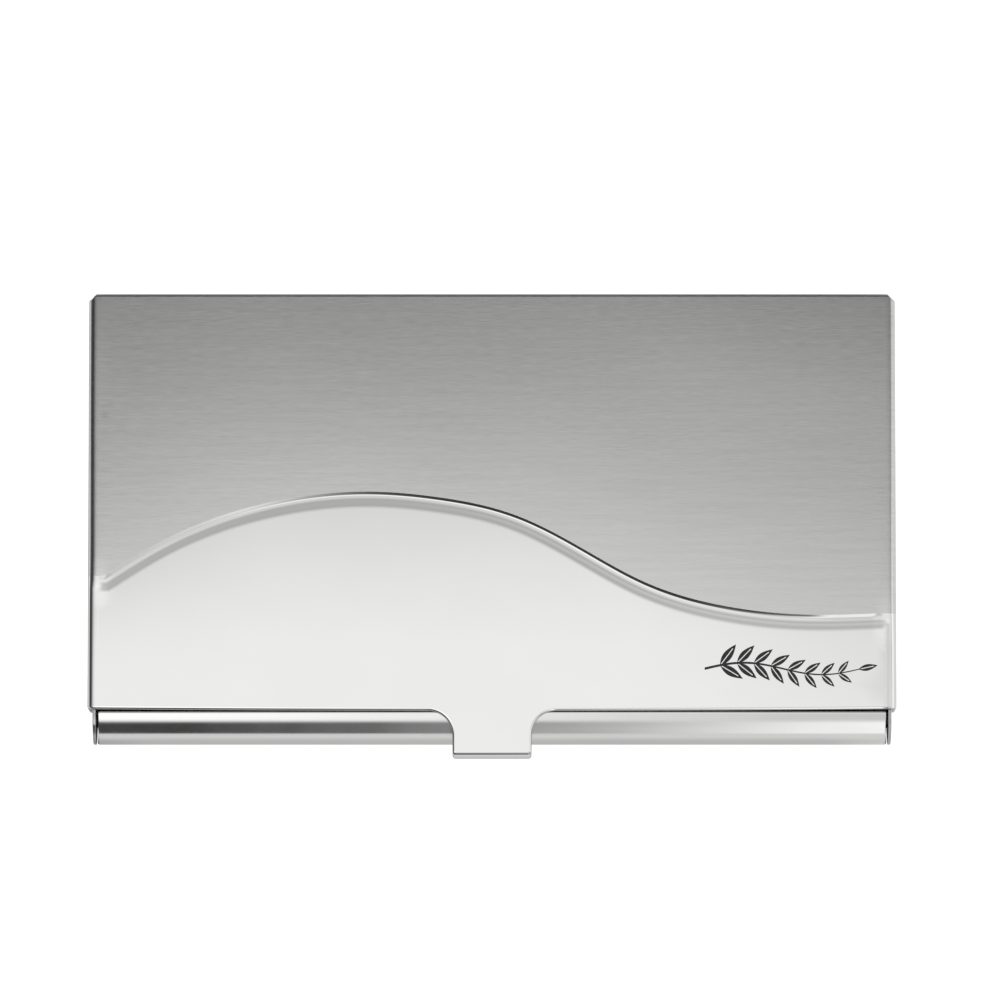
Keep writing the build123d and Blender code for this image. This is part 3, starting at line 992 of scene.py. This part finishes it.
def nylon():
    """Slightly translucent moulded washer plastic with a fine mottle."""
    material, tree, shader = blank(
        "washer_plastic", Subsurface_Weight=0.15, Specular_IOR_Level=0.45
    )
    shader.inputs["Subsurface Radius"].default_value = (0.0006, 0.0005, 0.0004)
    where = object_coordinates(tree)
    mottle = noise(tree, where, (1500, 1500, 1500), 3)
    tinted(tree, shader, span(tree, mottle, 0.94, 1.04), (0.8, 0.78, 0.72))
    tree.links.new(span(tree, mottle, 0.38, 0.5), shader.inputs["Roughness"])
    bump(tree, shader, mottle, 0.2, 0.00002)
    return material


def velvet():
    """Short flocked pile: very dark, with a soft sheen and a slight nap."""
    material, tree, shader = blank(
        "velvet", Sheen_Weight=0.35, Sheen_Roughness=0.35, Specular_IOR_Level=0.1
    )
    shader.inputs["Sheen Tint"].default_value = (0.75, 0.76, 0.8, 1)
    where = object_coordinates(tree)
    pile = noise(tree, where, (9000, 9000, 9000), 2, 0.7)
    nap = noise(tree, where, (120, 260, 120), 3)
    shade = combine(tree, "MULTIPLY", span(tree, pile, 0.6, 1.5), span(tree, nap, 0.75, 1.3))
    tinted(tree, shader, shade, (0.015, 0.015, 0.018))
    tree.links.new(span(tree, pile, 0.8, 1.0), shader.inputs["Roughness"])
    bump(tree, shader, pile, 0.6, 0.00006)
    return material


def engraving():
    """Laser-darkened metal at the bottom of the engraved sprig."""
    material, tree, shader = blank("engraved_dark", Metallic=0.0, Specular_IOR_Level=0.2)
    where = flat_coordinates(tree)
    passes = noise(tree, where, (8000, 1200, 1), 2)
    tinted(tree, shader, span(tree, passes, 0.8, 1.25), (0.022, 0.022, 0.023))
    tree.links.new(span(tree, passes, 0.45, 0.65), shader.inputs["Roughness"])
    bump(tree, shader, passes, 0.3, 0.00001)
    return material


polished = polished_steel("polished_steel", (0.80, 0.795, 0.79), 0.07, 0.28, 0.012)
roll_steel = polished_steel("roll_steel", (0.74, 0.735, 0.73), 0.16, 0.0, 0.02)
inner_steel = polished_steel("inner_steel", (0.58, 0.58, 0.58), 0.26, 0.0, 0.012)
cut_edge = polished_steel("cut_edge", (0.46, 0.46, 0.46), 0.3, 0.0, 0.05)
tray_edge = polished_steel("tray_edge", (0.44, 0.44, 0.44), 0.3, 0.0, 0.05)
lid_steels = (polished, brushed_steel(), engraving(), inner_steel, cut_edge)

finished(make_lid(), "lid", "lid_cover", "brushed_steel", *lid_steels)
finished(make_tray(), "base", "base_tray", "polished_steel", roll_steel, inner_steel, tray_edge)
pad = make_liner()
black_velvet = velvet()
finished(pad, "base", "floor_liner", "velvet", black_velvet, black_velvet, black_velvet)

CAD_FINISHES = {
    "spring_steel": plain_steel("spring_steel", (0.42, 0.42, 0.44), 0.28, (7000, 500, 7000)),
    "bracket_steel": plain_steel("bracket_steel", (0.5, 0.5, 0.51), 0.33, (7000, 600, 7000)),
    "rivet_steel": plain_steel("rivet_steel", (0.6, 0.6, 0.61), 0.22, (2500, 2500, 2500)),
    "pin_steel": plain_steel("pin_steel", (0.62, 0.62, 0.64), 0.16, (6000, 600, 600)),
    "washer_plastic": nylon(),
}
for subpart in frame["record"]["subparts"]:
    node = frame["nodes"][subpart["node"]]
    if subpart["material_slot"] in CAD_FINISHES and not node.hide_render:
        node.data.materials.clear()
        node.data.materials.append(CAD_FINISHES[subpart["material_slot"]])
        soften = node.modifiers.new("edges", "BEVEL")
        soften.width = 0.06 * MM
        soften.segments = 2
        soften.limit_method = "ANGLE"
        soften.angle_limit = radians(35)


# ---- studio ---------------------------------------------------------------------------------
# A closed tent whose inner light is seen only in reflections. Metres; x spans run from the left
# and y spans from the front, unless the first number is the greater.
TENT_HALF = 0.45
TENT_TOP = 0.16
TENT_CELLS = 90
TENT_FLOOR_Z = -0.0004
FRONT_DARK = 0.045
FRONT_BRIGHT = 1.12
FRONT_RAMP_START = -0.055
FRONT_RAMP_LENGTH = 0.1
FRONT_RAMP_LIMIT = 1.05
FRONT_RAMP_POWER = 2.4
FRONT_RIGHT_FALL = 0.6
FRONT_RIGHT_X = (0.07, 0.16)
OVERHEAD = 1.24
OVERHEAD_LIMIT = 1.05
OVERHEAD_FALL = 1.1
OVERHEAD_FALL_Y = (-0.025, 0.08)
REAR_DIM = 0.48
REAR_DIM_Y = (0.034, 0.058)
SIDE_DIM = 0.22
RIGHT_DIM_X = (0.015, 0.062)
RIGHT_DIM_Y = (-0.02, 0.012)
LEFT_DIM_X = (-0.03, -0.055)
LEFT_DIM_Y = (-0.005, 0.02)
FRONT_GAIN = 0.02
FRONT_TILT = 7.0
FRONT_TILT_HALF = 0.045
FRONT_TILT_Y = (-0.02, -0.06)
FRONT_MIX_Y = (-0.135, -0.215)
LEFT_END = 0.15
LEFT_END_X = (-0.36, -0.07)
REAR_WALL_LIGHT = 0.35
LEFT_WALL_LIGHT = 0.06
RIGHT_WALL_LIGHT = 0.45
RIGHT_WALL_GAIN = 0.7
RIGHT_WALL_Y = (0.075, 0.045)
FLOOR_DARK = 0.12
FLOOR_GAIN = 0.70
FLOOR_LEFT_X = (-0.09, -0.06)
CASE_SHADE = {"left": 0.7, "front": 0.4, "right": 0.1}
CASE_SHADE_REACH = 0.006
# the white floor, and a dark patch under the case: painted shadow where the case shades the floor
FLOOR_HALF = 3.0
FLOOR_Z = -0.0002
FLOOR_TONE = 0.5
FLOOR_LIGHT = 0.8
# painted shadow: a dark sheet under the case
UNDER_CASE_Z = -0.0001
PAINTED_SHADOW_TONE = 0.08
UNDER_CASE_FRONT_INSET = Vector((0.0003, 0.0022, 0))
UNDER_CASE_REAR_INSET = Vector((0.0003, 0.0023, 0))
WORLD_LIGHT = 1.2
CAMERA_SENSOR = 36
CAMERA_LENS = 350.6
CAMERA_TIP = radians(6.0)
CAMERA_AIM = Vector((0.94, 3.03, LID_TOP)) * MM
CAMERA_DISTANCE = 1.147


def front_glow(x):
    """The front wall is dark at the left and brightens to the right, up to a light's edge."""
    ramp = np.clip((x - FRONT_RAMP_START) / FRONT_RAMP_LENGTH, 0, FRONT_RAMP_LIMIT)
    fall = 1 - FRONT_RIGHT_FALL * smooth(x, *FRONT_RIGHT_X)
    return FRONT_DARK + FRONT_BRIGHT * ramp**FRONT_RAMP_POWER * fall


def ceiling_glow(x, y, z):
    """Bright overhead, dimmer to the rear and at both sides, dark in front at the left."""
    tilt = FRONT_GAIN - FRONT_TILT * np.clip(x, -FRONT_TILT_HALF, FRONT_TILT_HALF)
    over = np.minimum(OVERHEAD - OVERHEAD_FALL * smooth(y, *OVERHEAD_FALL_Y), OVERHEAD_LIMIT)
    over *= 1 - REAR_DIM * smooth(y, *REAR_DIM_Y)
    over *= 1 - SIDE_DIM * smooth(x, *RIGHT_DIM_X) * smooth(y, *RIGHT_DIM_Y)
    over *= 1 + tilt * smooth(y, *FRONT_TILT_Y)
    over *= 1 - SIDE_DIM * smooth(x, *LEFT_DIM_X) * smooth(y, *LEFT_DIM_Y)
    over = over + (front_glow(x) - over) * smooth(y, *FRONT_MIX_Y)
    return over * (LEFT_END + (1 - LEFT_END) * smooth(x, *LEFT_END_X))


def front_wall_glow(x, y, z):
    return front_glow(x)


def rear_wall_glow(x, y, z):
    return np.full_like(x, REAR_WALL_LIGHT)


def left_wall_glow(x, y, z):
    return np.full_like(x, LEFT_WALL_LIGHT)


def right_wall_glow(x, y, z):
    return RIGHT_WALL_LIGHT + RIGHT_WALL_GAIN * smooth(y, *RIGHT_WALL_Y)


def floor_glow(x, y, z):
    """Dim at the left and close to the case, where the case shades the table."""
    end = HALF_LENGTH * MM
    away = np.maximum(np.abs(x) - end, -y - REAR_Y * MM)
    shade = np.where(x > end, CASE_SHADE["right"], CASE_SHADE["front"])
    shade = np.where(x < -end, CASE_SHADE["left"], shade) * smooth(away, CASE_SHADE_REACH, 0.0)
    return (FLOOR_DARK + FLOOR_GAIN * smooth(x, *FLOOR_LEFT_X)) * (1 - shade)


def tent_side(name, middle, across, up, glow, material):
    """A flat grid whose light at each corner is glow(x, y, z)."""
    steps = np.linspace(-1, 1, TENT_CELLS + 1)
    a, b = np.meshgrid(steps, steps)
    a, b = a.reshape(-1, 1), b.reshape(-1, 1)
    places = np.array(middle) + a * np.array(across) + b * np.array(up)
    faces = []
    for row in range(TENT_CELLS):
        for column in range(TENT_CELLS):
            corner = row * (TENT_CELLS + 1) + column
            faces.append((corner, corner + 1, corner + TENT_CELLS + 2, corner + TENT_CELLS + 1))
    mesh = bpy.data.meshes.new(name)
    mesh.from_pydata(places.tolist(), [], faces)
    light = mesh.attributes.new("glow", "FLOAT", "POINT")
    light.data.foreach_set("value", glow(*places.T))
    mesh.materials.append(material)
    panel = bpy.data.objects.new(name, mesh)
    bpy.context.scene.collection.objects.link(panel)
    for ray in ("camera", "diffuse", "shadow", "transmission", "volume_scatter"):
        setattr(panel, "visible_" + ray, False)


def glowing():
    """Emission as strong as the mesh's glow attribute."""
    material = bpy.data.materials.new("tent_glow")
    material.use_nodes = True
    tree = material.node_tree
    tree.nodes.clear()
    light = add(tree, "Emission")
    amount = add(tree, "Attribute", attribute_name="glow")
    output = add(tree, "OutputMaterial")
    tree.links.new(amount.outputs["Fac"], light.inputs["Strength"])
    tree.links.new(light.outputs["Emission"], output.inputs["Surface"])
    material.cycles.emission_sampling = "NONE"
    return material


def floor_piece(name, low, high, z, tone, glow):
    """A flat matt rectangle; glow keeps it white, and only one without glow is reflected."""
    pale, tree, shader = blank(name, Roughness=0.9, Specular_IOR_Level=0.0, Emission_Strength=glow)
    shader.inputs["Base Color"].default_value = (tone, tone, tone, 1)
    shader.inputs["Emission Color"].default_value = (1, 1, 1, 1)
    pale.cycles.emission_sampling = "NONE"
    (x0, y0), (x1, y1) = low, high
    corners = [(x0, y0, z), (x1, y0, z), (x1, y1, z), (x0, y1, z)]
    mesh = bpy.data.meshes.new(name)
    mesh.from_pydata(corners, [], [(0, 1, 2, 3)])
    mesh.materials.append(pale)
    floor = bpy.data.objects.new(name, mesh)
    floor.visible_glossy = glow == 0
    bpy.context.scene.collection.objects.link(floor)


def make_studio():
    glow = glowing()
    half, top = TENT_HALF, TENT_TOP / 2
    tent_side("tent_ceiling", (0, 0, TENT_TOP), (half, 0, 0), (0, half, 0), ceiling_glow, glow)
    tent_side("tent_front", (0, -half, top), (half, 0, 0), (0, 0, top), front_wall_glow, glow)
    tent_side("tent_rear", (0, half, top), (half, 0, 0), (0, 0, top), rear_wall_glow, glow)
    tent_side("tent_left", (-half, 0, top), (0, half, 0), (0, 0, top), left_wall_glow, glow)
    tent_side("tent_right", (half, 0, top), (0, half, 0), (0, 0, top), right_wall_glow, glow)
    tent_side("tent_floor", (0, 0, TENT_FLOOR_Z), (half, 0, 0), (0, half, 0), floor_glow, glow)

    edge = FLOOR_HALF
    floor_piece("studio_floor", (-edge, -edge), (edge, edge), FLOOR_Z, FLOOR_TONE, FLOOR_LIGHT)
    # painted shadow: a dark unlit sheet under the case, where the floor is in its shade
    low = Vector(tray_low) + UNDER_CASE_FRONT_INSET
    high = Vector(tray_high) - UNDER_CASE_REAR_INSET
    floor_piece("painted_shadow_under_case", low[:2], high[:2], UNDER_CASE_Z, PAINTED_SHADOW_TONE, 0.0)

    world = bpy.data.worlds.new("soft_white")
    world.use_nodes = True
    world.node_tree.nodes["Background"].inputs["Color"].default_value = (1, 1, 1, 1)
    world.node_tree.nodes["Background"].inputs["Strength"].default_value = WORLD_LIGHT
    world.cycles_visibility.glossy = False
    bpy.context.scene.world = world
    bpy.context.scene.view_settings.view_transform = "Standard"


def make_camera():
    """Looks down at the closed lid from a little in front."""
    lens = bpy.data.cameras.new("camera")
    lens.sensor_width = CAMERA_SENSOR
    lens.lens = CAMERA_LENS
    lens.clip_start = 0.05
    camera = bpy.data.objects.new("camera", lens)
    back = Vector((0, -sin(CAMERA_TIP), cos(CAMERA_TIP)))
    camera.location = CAMERA_AIM + CAMERA_DISTANCE * back
    camera.rotation_euler = (CAMERA_TIP, 0, 0)
    bpy.context.scene.collection.objects.link(camera)
    bpy.context.scene.camera = camera


make_studio()
make_camera()
